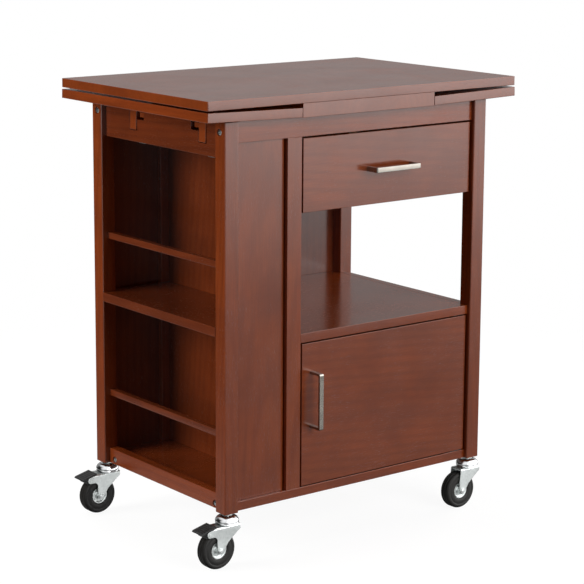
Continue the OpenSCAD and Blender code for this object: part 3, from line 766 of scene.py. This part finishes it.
def makeFork(corner):
    braked = corner in brakedCorners
    outline = [(x * mm, z * mm) for x, z in forkOutline(braked)]
    piece = linkMesh("fork" + corner.upper(), meshFrom("fork", prism(outline, -forkOut * mm, forkOut * mm)))
    # a sheet bent into a U, seen along X
    out, thick, top, bend = forkOut * mm, caster["sheet"] * mm, caster["forkTop"] * mm, caster["bend"] * mm
    shell = [(-out, 0.0), *arcPoints(-out + bend, top - bend, bend, 180, 90, 5)]
    shell += [*arcPoints(out - bend, top - bend, bend, 90, 0, 5), (out, 0.0), (out - thick, 0.0)]
    within = bend - thick
    shell += arcPoints(out - bend, top - bend, within, 0, 90, 4)
    shell += [*arcPoints(-out + bend, top - bend, within, 90, 180, 4), (-out + thick, 0.0)]
    channel = prism(shell, -0.08, 0.08)
    channel.transform(Matrix.Rotation(math.radians(90), 4, "Z"))
    bmesh.ops.recalc_face_normals(channel, faces=channel.faces)
    cutWith(piece, linkMesh("channel", meshFrom("channel", channel)), "INTERSECT")
    bores = [(0, caster["forkTop"], caster["stem"] / 2 + 0.05, "z"),
             (-caster["trail"], caster["wheelRadius"], caster["axleDiameter"] / 2 + 0.05, "y")]
    if braked:
        bores.append((-caster["trail"] - caster["pedalBack"], caster["wheelRadius"] + caster["pedalUp"],
                      caster["pedalPin"] / 2 + 0.05, "y"))
    for x, z, r, axis in bores:
        bore = bmesh.new()
        bmesh.ops.create_cone(bore, cap_ends=True, segments=32, radius1=r * mm, radius2=r * mm, depth=0.06)
        if axis == "y":
            bore.transform(Matrix.Rotation(math.radians(90), 4, "X"))
        bore.transform(Matrix.Translation((x * mm, 0, z * mm)))
        cutWith(piece, linkMesh("bore", meshFrom("bore", bore)))
    bm = bmesh.new()
    bm.from_mesh(piece.data)
    bmesh.ops.remove_doubles(bm, verts=bm.verts, dist=1e-6)
    bmesh.ops.dissolve_limit(bm, angle_limit=math.radians(0.5), verts=bm.verts, edges=bm.edges)
    bm.transform(Matrix.Translation(swivelAt(corner)))
    piece.data = meshFrom("fork", bm)
    softenEdges(piece, 0.45 * mm, 2, 40)
    finish(piece, metals["zinc"], "swivel_" + corner, "zinc", "fork_" + corner)


def swivelAt(corner):
    at = jointAt["swivel_" + corner]
    return (at.x, at.y, 0.0)


def axleAt(corner):
    return jointAt["wheel_spin_" + corner]


def acrossY(corner):
    # from about Z to about the wheel's axle
    return Matrix.Translation(axleAt(corner)) @ Matrix.Rotation(math.radians(90), 4, "X")


def makeWheel(corner):
    tyre = lathe(tyreProfile(), 96)
    tyre.transform(acrossY(corner))
    piece = sharpBy(linkMesh("tyre" + corner.upper(), meshFrom("tyre", tyre)), 50)
    finish(piece, moulded["rubber"], "wheel_" + corner, "rubber", "tyre_" + corner)
    hub = lathe(hubProfile(), 64)
    hub.transform(acrossY(corner))
    piece = sharpBy(linkMesh("hub" + corner.upper(), meshFrom("hub", hub)), 30)
    finish(piece, metals["zinc"], "wheel_" + corner, "zinc", "hub_" + corner)


def hexagonHead(across, low, high):
    bm = bmesh.new()
    bmesh.ops.create_cone(bm, cap_ends=True, segments=6, radius1=across / 2,
                          radius2=across / 2, depth=high - low)
    bm.transform(Matrix.Translation((0, 0, (low + high) / 2)))
    return bm


def pedalPinAt(corner):
    x, y, _ = swivelAt(corner)
    back = caster["trail"] + caster["pedalBack"]
    up = caster["wheelRadius"] + caster["pedalUp"]
    return x - back * mm, y, up * mm


def makeAxle(corner):
    end, seat = (forkOut + 3.5) * mm, (forkOut + 0.2) * mm
    r = caster["axleDiameter"] / 2 * mm
    edge = 0.8 * mm
    rod = [(0, -end), (r - edge, -end), (r, -end + edge), (r, end - edge), (r - edge, end), (0, end)]
    parts = [(lathe(rod, 32, closed=False), Matrix.Identity(4))]
    for side in (1, -1):
        flip = Matrix.Rotation(math.radians(180), 4, "X") if side < 0 else Matrix.Identity(4)
        hole, rim, top = r + 0.02 * mm, 6.5 * mm, seat + 0.7 * mm
        parts.append((lathe([(hole, seat), (rim, seat), (rim, top), (hole, top)], 32), flip))
        nut = hexagonHead(12.0 * mm, seat + 0.75 * mm, seat + 2.4 * mm)
        parts.append((nut, flip @ Matrix.Rotation(0.35, 4, "Z")))
    bm = joinMeshes(*parts)
    bm.transform(acrossY(corner))
    if corner in brakedCorners:
        pin = bmesh.new()
        pinEnd = (forkOut + 0.8) * mm
        bmesh.ops.create_cone(pin, cap_ends=True, segments=32, radius1=caster["pedalPin"] / 2 * mm,
                              radius2=caster["pedalPin"] / 2 * mm, depth=2 * pinEnd)
        pin.transform(Matrix.Translation(pedalPinAt(corner)) @ Matrix.Rotation(math.radians(90), 4, "X"))
        bm = joinMeshes((bm, Matrix.Identity(4)), (pin, Matrix.Identity(4)))
    piece = linkMesh("axle" + corner.upper(), meshFrom("axle", bm))
    softenEdges(piece, 0.3 * mm, 2, 40)
    finish(piece, metals["zinc"], "swivel_" + corner, "zinc", "axle_" + corner)


def makePedal(corner):
    pinX, y, pinZ = pedalPinAt(corner)
    wide, narrow = (forkOut + 1.2) * mm, (caster["forkIn"] - 0.5) * mm
    plate = [(14, 14), (-18, 6.2), (-19.6, 5.0), (-20.5, 3.2), (-18.6, 1.6), (-8, 5.5), (14, 10.9)]
    arm = [(8, 10.2), (-9, 6.2), (-9, -5), (-5.5, -7.5), *arcPoints(0, 0, 4.2, 270, 360, 6)]
    parts = []
    for outline, reach in ((plate, wide), (arm, narrow)):
        placed = [(pinX + a * mm, pinZ + b * mm) for a, b in outline]
        parts.append((prism(placed, y - reach, y + reach), Matrix.Identity(4)))
    piece = linkMesh("pedal" + corner.upper(), meshFrom("pedal", joinMeshes(parts[0])))
    armPiece = linkMesh("arm", meshFrom("arm", joinMeshes(parts[1])))
    cutWith(piece, armPiece, "UNION")
    bore = bmesh.new()
    r = (caster["pedalPin"] / 2 + 0.05) * mm
    bmesh.ops.create_cone(bore, cap_ends=True, segments=32, radius1=r, radius2=r, depth=0.06)
    bore.transform(Matrix.Translation((pinX, y, pinZ)) @ Matrix.Rotation(math.radians(90), 4, "X"))
    cutWith(piece, linkMesh("bore", meshFrom("bore", bore)))
    bm = bmesh.new()
    bm.from_mesh(piece.data)
    bmesh.ops.remove_doubles(bm, verts=bm.verts, dist=1e-6)
    bmesh.ops.dissolve_limit(bm, angle_limit=math.radians(0.5), verts=bm.verts, edges=bm.edges)
    piece.data = meshFrom("pedal", bm)
    softenEdges(piece, 0.6 * mm, 2, 40)
    finish(piece, moulded["blackPlastic"], "pedal_" + corner, "black_plastic", "pedal_" + corner)


cups = joinMeshes(*[(lathe(cupProfile(), 72), Matrix.Translation(swivelAt(c))) for c in corners])
cupPiece = sharpBy(linkMesh("casterCups", meshFrom("cups", cups)), 40)
finish(cupPiece, metals["chrome"], "frame", "chrome", "caster_cups")
for corner in corners:
    makeFork(corner)
    makeWheel(corner)
    makeAxle(corner)
for corner in brakedCorners:
    makePedal(corner)
print("casters ready")


# ---- small hardware that keeps its CAD shape, with broken edges

hardware = {
    "caster_stems": dict(edge=0.5, finish=metals["zinc"], slot="zinc"),
    "door_pivots": dict(edge=0.2, finish=moulded["blackPlastic"], slot="black_plastic"),
    "catch_strike": dict(edge=0.2, finish=metals["zinc"], slot="zinc"),
    "door_catch": dict(edge=0.8, finish=moulded["blackPlastic"], slot="black_plastic"),
    "glide_blocks": dict(edge=1.0, finish=moulded["greyNylon"], slot="grey_nylon"),
}
for node, look in hardware.items():
    piece = linkMesh(pieceName(node), meshFrom(node, cadMesh(node)))
    softenEdges(piece, look["edge"] * mm)
    finish(piece, look["finish"], bodyOf[node], look["slot"], node)


# ---- bolts and screws, placed by Geometry Nodes

def headMesh(name, radius, dome, rim, socketRadius, socketDeep, sides):
    # a low domed head on Z, with a socket in its top; z = 0 is the seat
    points = [(0.0, 0.0), (radius, 0.0), (radius, rim)]
    steps = 6
    for i in range(1, steps + 1):
        a = math.radians(90 * i / steps)
        r = socketRadius + (radius - socketRadius) * math.cos(a)
        points.append((r, rim + dome * math.sin(a)))
    bottom = rim + dome - socketDeep
    bm = lathe(points + [(socketRadius * 0.98, bottom), (0.0, bottom)], sides, False)
    mesh = meshFrom(name, bm)
    mesh.set_sharp_from_angle(angle=math.radians(40))
    return linkMesh(name, mesh)


def instancerTree():
    tree = bpy.data.node_groups.new("placeHeads", "GeometryNodeTree")
    face = tree.interface
    face.new_socket("Geometry", in_out="INPUT", socket_type="NodeSocketGeometry")
    headSocket = face.new_socket("Head", in_out="INPUT", socket_type="NodeSocketObject")
    sizeSocket = face.new_socket("Size", in_out="INPUT", socket_type="NodeSocketFloat")
    twistSocket = face.new_socket("Twist", in_out="INPUT", socket_type="NodeSocketFloat")
    finishSocket = face.new_socket("Finish", in_out="INPUT", socket_type="NodeSocketMaterial")
    face.new_socket("Geometry", in_out="OUTPUT", socket_type="NodeSocketGeometry")
    w = Wires(tree.nodes, tree.links)
    start, end = w.put("NodeGroupInput"), w.put("NodeGroupOutput")
    info = w.put("GeometryNodeObjectInfo", {"Object": start.outputs["Head"]})
    outward = w.put("GeometryNodeInputNamedAttribute", {"Name": "outward"}, data_type="FLOAT_VECTOR")
    aim = w.put("FunctionNodeAlignRotationToVector", {"Vector": outward.outputs["Attribute"]}, axis="Z")
    turn = w.put("FunctionNodeRandomValue", data_type="FLOAT")
    turn.inputs[2].default_value = 0.0
    w.links.new(start.outputs["Twist"], turn.inputs[3])
    turn.inputs["Seed"].default_value = 7
    spin = w.put("ShaderNodeCombineXYZ", {"Z": turn.outputs[1]})
    euler = w.put("FunctionNodeEulerToRotation", {0: spin.outputs[0]})
    both = w.put("FunctionNodeRotateRotation", {0: aim.outputs[0], 1: euler.outputs[0]},
                 rotation_space="LOCAL")
    points = w.put("GeometryNodeMeshToPoints", {"Mesh": start.outputs["Geometry"]})
    placed = w.put("GeometryNodeInstanceOnPoints", {
        "Points": points.outputs[0], "Instance": info.outputs["Geometry"], "Rotation": both.outputs[0]})
    w.links.new(start.outputs["Size"], placed.inputs["Scale"])
    real = w.put("GeometryNodeRealizeInstances", {0: placed.outputs[0]})
    painted = w.put("GeometryNodeSetMaterial", {0: real.outputs[0], "Material": start.outputs["Finish"]})
    w.links.new(painted.outputs[0], end.inputs[0])
    return tree, dict(head=headSocket.identifier, size=sizeSocket.identifier,
                      twist=twistSocket.identifier, finish=finishSocket.identifier)


headTree, headInputs = instancerTree()


def placeHeads(name, head, spots, material, body, slotName, nodes=(), size=1.0, twist=6.28):
    mesh = bpy.data.meshes.new(name)
    mesh.from_pydata([spot for spot, _ in spots], [], [])
    outward = mesh.attributes.new("outward", "FLOAT_VECTOR", "POINT")
    outward.data.foreach_set("vector", [c for _, way in spots for c in way])
    piece = linkMesh(name, mesh)
    modifier = piece.modifiers.new("heads", "NODES")
    modifier.node_group = headTree
    modifier[headInputs["head"]] = head
    modifier[headInputs["size"]] = size
    modifier[headInputs["twist"]] = twist
    modifier[headInputs["finish"]] = material
    applyModifiers(piece)
    return finish(piece, material, body, slotName, *nodes)


boltHead = headMesh("boltHead", 5.5 * mm, 1.6 * mm, 0.8 * mm, 2.3 * mm, 1.3 * mm, 36)
screwHead = headMesh("screwHead", 3.2 * mm, 0.7 * mm, 0.3 * mm, 0.9 * mm, 0.5 * mm, 24)
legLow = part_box("leg_fl")[0]
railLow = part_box("left_end_rail")[0]
# how far each bolt is from the middle, how high it is, and how deep its recess is, in mm
bolt = dict(legOut=208, legUp=835.5, railOut=176, railUp=115, recess=3.0)
boltSpots = []
for side in (-1, 1):
    for front in (-1, 1):
        for face, out, up in (
                (legLow.x, bolt["legOut"], bolt["legUp"]), (railLow.x, bolt["railOut"], bolt["railUp"])):
            reach = abs(face) - bolt["recess"] * mm
            boltSpots.append(((side * reach, front * out * mm, up * mm), (side, 0, 0)))
placeHeads("frameBolts", boltHead, boltSpots, metals["zinc"], "frame", "zinc", ["frame_bolts"])

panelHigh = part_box("rear_panel")[1]
backSpots = []
for x in (-304, -160, 0, 150, 304):
    for z in (116, 300, 480, 660, 845):
        if abs(x) == 304 or z in (116, 845):
            backSpots.append(((x * mm, panelHigh.y - 0.2 * mm, z * mm), (0, 1, 0)))
placeHeads("backScrews", screwHead, backSpots, metals["zinc"], "frame", "zinc")

# grip ridges across each pedal's tread plate
ridge = dict(count=6, high=0.8, wide=1.4, inset=3.0, first=10.0, pitch=5.0, slope=7.8 / 32)
ridgeMesh = bmesh.new()
bmesh.ops.create_cube(ridgeMesh, size=1.0)
ridgeSize = (ridge["wide"] * mm, 2 * (forkOut + 1.2 - ridge["inset"]) * mm, ridge["high"] * mm * 2)
ridgeMesh.transform(Matrix.Diagonal((*ridgeSize, 1)))
gripRidge = softenEdges(linkMesh("gripRidge", meshFrom("gripRidge", ridgeMesh)), 0.35 * mm, 2, 40)
lean = Vector((-ridge["slope"], 0, 1)).normalized()
for corner in brakedCorners:
    pinX, y, pinZ = pedalPinAt(corner)
    ridgeSpots = []
    for i in range(ridge["count"]):
        along = ridge["first"] - ridge["pitch"] * i
        up = 14 - (14 - along) * ridge["slope"]
        ridgeSpots.append(((pinX + along * mm, y, pinZ + up * mm), tuple(lean)))
    placeHeads("pedalRidges" + corner.upper(), gripRidge, ridgeSpots, moulded["blackPlastic"],
               "pedal_" + corner, "black_plastic", twist=0.0)
for helper in (boltHead, screwHead, gripRidge):
    bpy.data.objects.remove(helper)
print("hardware ready")


# ---- camera, lights, floor

view = dict(at=(-2.4422, -3.1290, 1.3146), heading=37.19, tilt=-10.81, roll=0.18, lens=122.13,
            shiftX=0.0501, shiftY=-0.0805)
cameraData = bpy.data.cameras.new("camera")
cameraData.lens = view["lens"]
cameraData.sensor_width = 36.0
cameraData.shift_x = view["shiftX"]
cameraData.shift_y = view["shiftY"]
cameraData.clip_end = 60.0
camera = bpy.data.objects.new("camera", cameraData)
bpy.context.scene.collection.objects.link(camera)
turned = Matrix.Rotation(math.radians(-view["heading"]), 4, "Z")
turned = turned @ Matrix.Rotation(math.radians(90 + view["tilt"]), 4, "X")
turned = turned @ Matrix.Rotation(math.radians(view["roll"]), 4, "Z")
camera.matrix_world = Matrix.Translation(view["at"]) @ turned
bpy.context.scene.camera = camera

lights = {
    "leftSoftbox": dict(at=(-3.2, 1.0, 1.5), size=(1.8, 1.8), watts=116.0, tint=(1.0, 0.98, 0.95)),
    "frontSoftbox": dict(at=(0.5, -3.6, 2.0), size=(2.4, 1.8), watts=100.0, tint=(1.0, 0.99, 0.98)),
    "topSoftbox": dict(at=(0.2, 0.2, 3.4), size=(2.4, 2.4), watts=34.0, tint=(1.0, 1.0, 1.0)),
    "rightSoftbox": dict(at=(3.3, 0.4, 1.6), size=(2.0, 2.0), watts=55.0, tint=(1.0, 1.0, 1.0)),
    "rearSoftbox": dict(at=(0.0, 3.6, 1.6), size=(2.2, 2.0), watts=60.0, tint=(1.0, 1.0, 1.0)),
}
target = Vector((0.0, 0.0, 0.45))
for name, look in lights.items():
    data = bpy.data.lights.new(name, "AREA")
    data.shape = "RECTANGLE"
    data.size, data.size_y = look["size"]
    data.energy = look["watts"]
    data.color = look["tint"]
    lamp = bpy.data.objects.new(name, data)
    bpy.context.scene.collection.objects.link(lamp)
    lamp.location = look["at"]
    lamp.visible_glossy = False
    lamp.rotation_euler = (target - Vector(look["at"])).to_track_quat("-Z", "Y").to_euler()

# the studio: white to the eye, even in the open, with bright and dark walls for reflections
studio = dict(
    seen=1.0, ambient=0.06,
    front=dict(way=(0.62, -0.78, 0.0), fromDot=0.10, toDot=0.8, low=0.08, high=3.45,
               fromUp=-0.215, toUp=-0.12),
    back=dict(way=(0.6, 0.8, 0.0), fromDot=0.25, toDot=0.8, low=0.02, high=0.30, fromUp=-0.06, toUp=0.04),
    left=dict(way=(-0.85, -0.5, 0.2), fromDot=0.6, toDot=0.97, low=0.4, high=0.9, fromUp=-0.3, toUp=0.3),
    frontFoot=dict(way=(0.62, -0.78, 0.0), fromDot=0.1, toDot=0.8, low=0.35, high=0.0,
                   fromUp=-0.31, toUp=-0.23),
    leftFoot=dict(way=(-0.6, 0.8, 0.0), fromDot=0.3, toDot=0.8, low=0.5, high=0.0, fromUp=-0.34, toUp=-0.26),
    over=dict(way=(0.0, 0.0, 1.0), fromDot=0.45, toDot=0.9, low=0.9, high=0.9, fromUp=0.0, toUp=1.0),
    dark=0.02,
)
world = bpy.data.worlds.new("studio")
bpy.context.scene.world = world
world.use_nodes = True
world.node_tree.nodes.clear()
w = Wires(world.node_tree.nodes, world.node_tree.links)
way = w.put("ShaderNodeTexCoord").outputs["Generated"]
height = w.put("ShaderNodeSeparateXYZ", {0: way}).outputs["Z"]
path = w.put("ShaderNodeLightPath")
glossy = studio["dark"]
for side in ("front", "frontFoot", "back", "left", "leftFoot", "over"):
    wall = studio[side]
    facing = w.spread(w.vector("DOT_PRODUCT", way, wall["way"]), wall["fromDot"], wall["toDot"])
    level = w.spread(height, wall["fromUp"], wall["toUp"], wall["low"], wall["high"])
    glossy = w.math("MULTIPLY_ADD", facing, level, glossy)
shine = w.math("MULTIPLY", path.outputs["Is Glossy Ray"], w.math("SUBTRACT", glossy, studio["ambient"]))
strength = w.math("ADD", shine, studio["ambient"])
extra = w.math("SUBTRACT", studio["seen"], strength)
seen = w.math("MULTIPLY_ADD", path.outputs["Is Camera Ray"], extra, strength)
sky = w.put("ShaderNodeBackground", {"Color": colour(1, 1, 1), "Strength": seen})
w.links.new(sky.outputs[0], w.put("ShaderNodeOutputWorld").inputs["Surface"])

# the floor: white to the eye with a faint shadow, clear to reflections and from below
floorLook = dict(radius=1.9, fadeFrom=0.8, glow=0.92, shade=0.10, bounce=0.07)
floorMesh = bmesh.new()
bmesh.ops.create_circle(floorMesh, cap_ends=True, segments=96, radius=floorLook["radius"])
floor = linkMesh("floor", meshFrom("floor", floorMesh))
floor.location.z = cadLow.z
material = bpy.data.materials.new("paleFloor")
material.use_nodes = True
material.node_tree.nodes.clear()
w = Wires(material.node_tree.nodes, material.node_tree.links)
place = w.put("ShaderNodeTexCoord").outputs["Object"]
path = w.put("ShaderNodeLightPath")
diffuse = w.put("ShaderNodeBsdfDiffuse", {"Color": colour(*[floorLook["shade"]] * 3)})
onlySeen = floorLook["glow"] - floorLook["bounce"]
glowing = w.math("MULTIPLY_ADD", path.outputs["Is Camera Ray"], onlySeen, floorLook["bounce"])
glow = w.put("ShaderNodeEmission", {"Strength": glowing})
lit = w.put("ShaderNodeAddShader", {0: diffuse.outputs[0], 1: glow.outputs[0]})
clear = w.put("ShaderNodeBsdfTransparent")
reach = w.spread(w.vector("LENGTH", place), floorLook["fadeFrom"], floorLook["radius"] * 0.98)
away = w.math("MAXIMUM", reach, path.outputs["Is Glossy Ray"])
away = w.math("MAXIMUM", away, w.put("ShaderNodeNewGeometry").outputs["Backfacing"])
surface = w.put("ShaderNodeMixShader", {0: away, 1: lit.outputs[0], 2: clear.outputs[0]})
w.links.new(surface.outputs[0], w.put("ShaderNodeOutputMaterial").inputs["Surface"])
floor.data.materials.append(material)
bpy.context.scene.view_settings.view_transform = "Standard"
print("studio ready")
